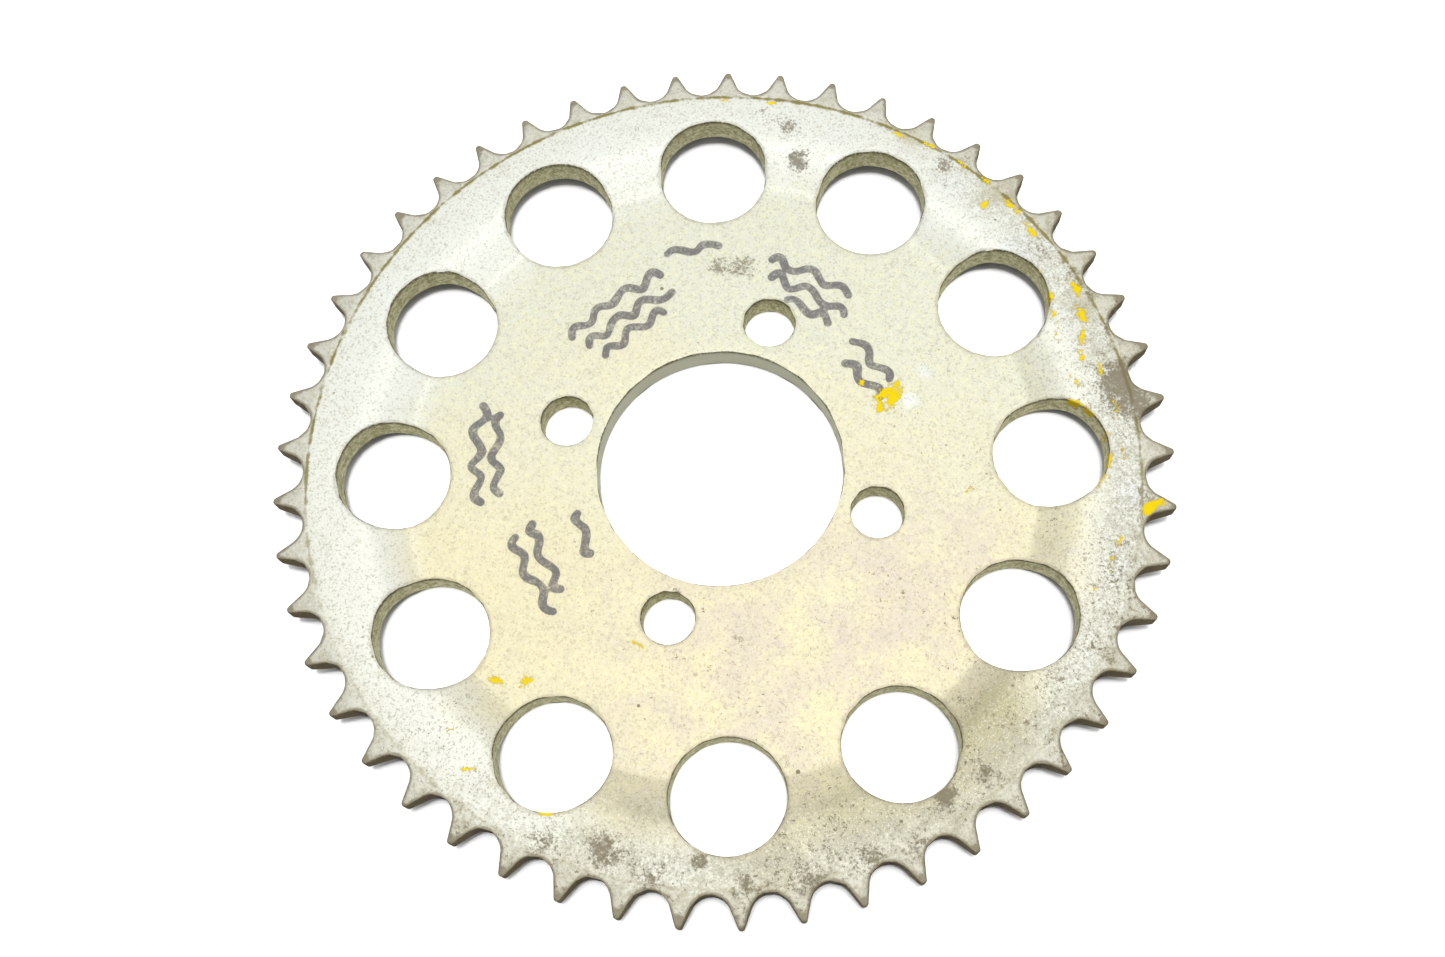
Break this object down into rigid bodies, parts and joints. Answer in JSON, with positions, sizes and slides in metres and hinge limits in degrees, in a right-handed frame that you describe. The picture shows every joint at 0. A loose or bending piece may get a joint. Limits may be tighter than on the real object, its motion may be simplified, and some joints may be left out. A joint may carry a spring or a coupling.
{
  "type": "rear sprocket",
  "caption": "Dished steel plate sprocket with a bore, bolt holes and lightening holes inside a rim of chain teeth; bolts to a motorcycle's rear hub and is driven by a roller chain.",
  "frame": {"origin": "centre of the bore on the underside of the hub disc, the face that meets the wheel hub", "axes": "+Z along the bore axis, away from the wheel hub and towards the raised outer ring; +Y towards the centre of the first lightening hole"},
  "size_m": [0.2037, 0.2037, 0.0104],
  "materials": {
    "plated_steel": "zinc plated with a pale yellow passivate, dull and lightly soiled"
  },
  "bodies": {
    "root": {"sprocket_plate": "plated_steel"}
  },
  "joints": []
}
